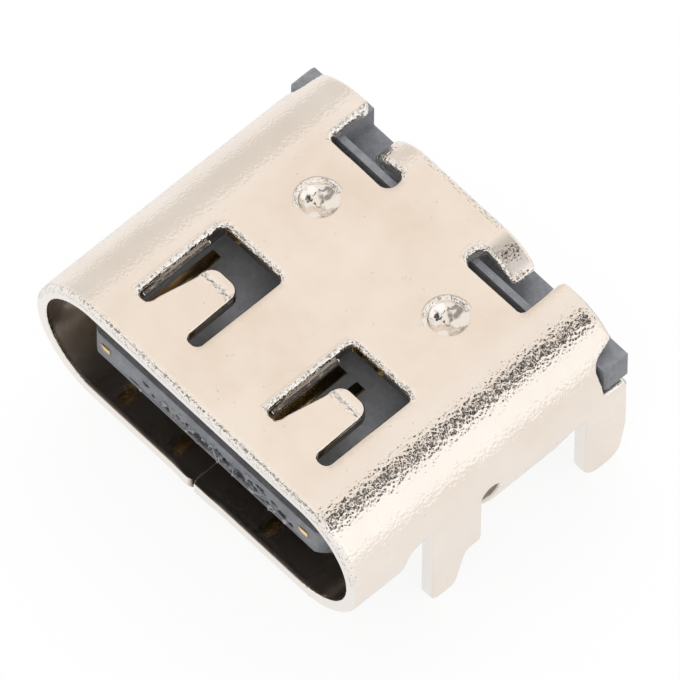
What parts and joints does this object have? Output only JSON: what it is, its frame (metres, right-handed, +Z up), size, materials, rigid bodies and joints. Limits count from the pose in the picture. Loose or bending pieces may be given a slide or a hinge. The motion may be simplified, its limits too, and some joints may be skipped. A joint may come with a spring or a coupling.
{
  "type": "usb-c socket",
  "caption": "Board-mounted receptacle with a formed metal shell, two roof springs, four board legs and a plastic tongue that carries two rows of flat contacts",
  "frame": {"origin": "on the board seat (the shell's flat underside), midway across the width and midway along the shell's length", "axes": "+X to the right when looking into the mouth, +Y from the mouth to the rear, +Z up from the board; the plug goes in along +Y"},
  "size_m": [0.009, 0.0075, 0.004],
  "materials": {
    "shell_sheet": "warm satin nickel plating with a fine grain, bright on formed edges and cut walls",
    "housing_plastic": "dark blue-grey glass-filled plastic, matte, with a pitted gate area on the nose",
    "plate_steel": "plain satin spring steel",
    "carrier_plastic": "dark grey plastic, matte",
    "contact_gold": "thin gold plating on copper alloy, smooth, slightly dull on the tails"
  },
  "bodies": {
    "root": {"shell": "shell_sheet", "housing": "housing_plastic", "mid_plate": "plate_steel", "upper_carrier": "carrier_plastic", "lower_carrier": "carrier_plastic", "contact_a1": "contact_gold", "contact_a4": "contact_gold", "contact_a5": "contact_gold", "contact_a6": "contact_gold", "contact_a7": "contact_gold", "contact_a8": "contact_gold", "contact_a9": "contact_gold", "contact_a12": "contact_gold", "contact_b1": "contact_gold", "contact_b4": "contact_gold", "contact_b5": "contact_gold", "contact_b6": "contact_gold", "contact_b7": "contact_gold", "contact_b8": "contact_gold", "contact_b9": "contact_gold", "contact_b12": "contact_gold"}
  },
  "joints": []
}
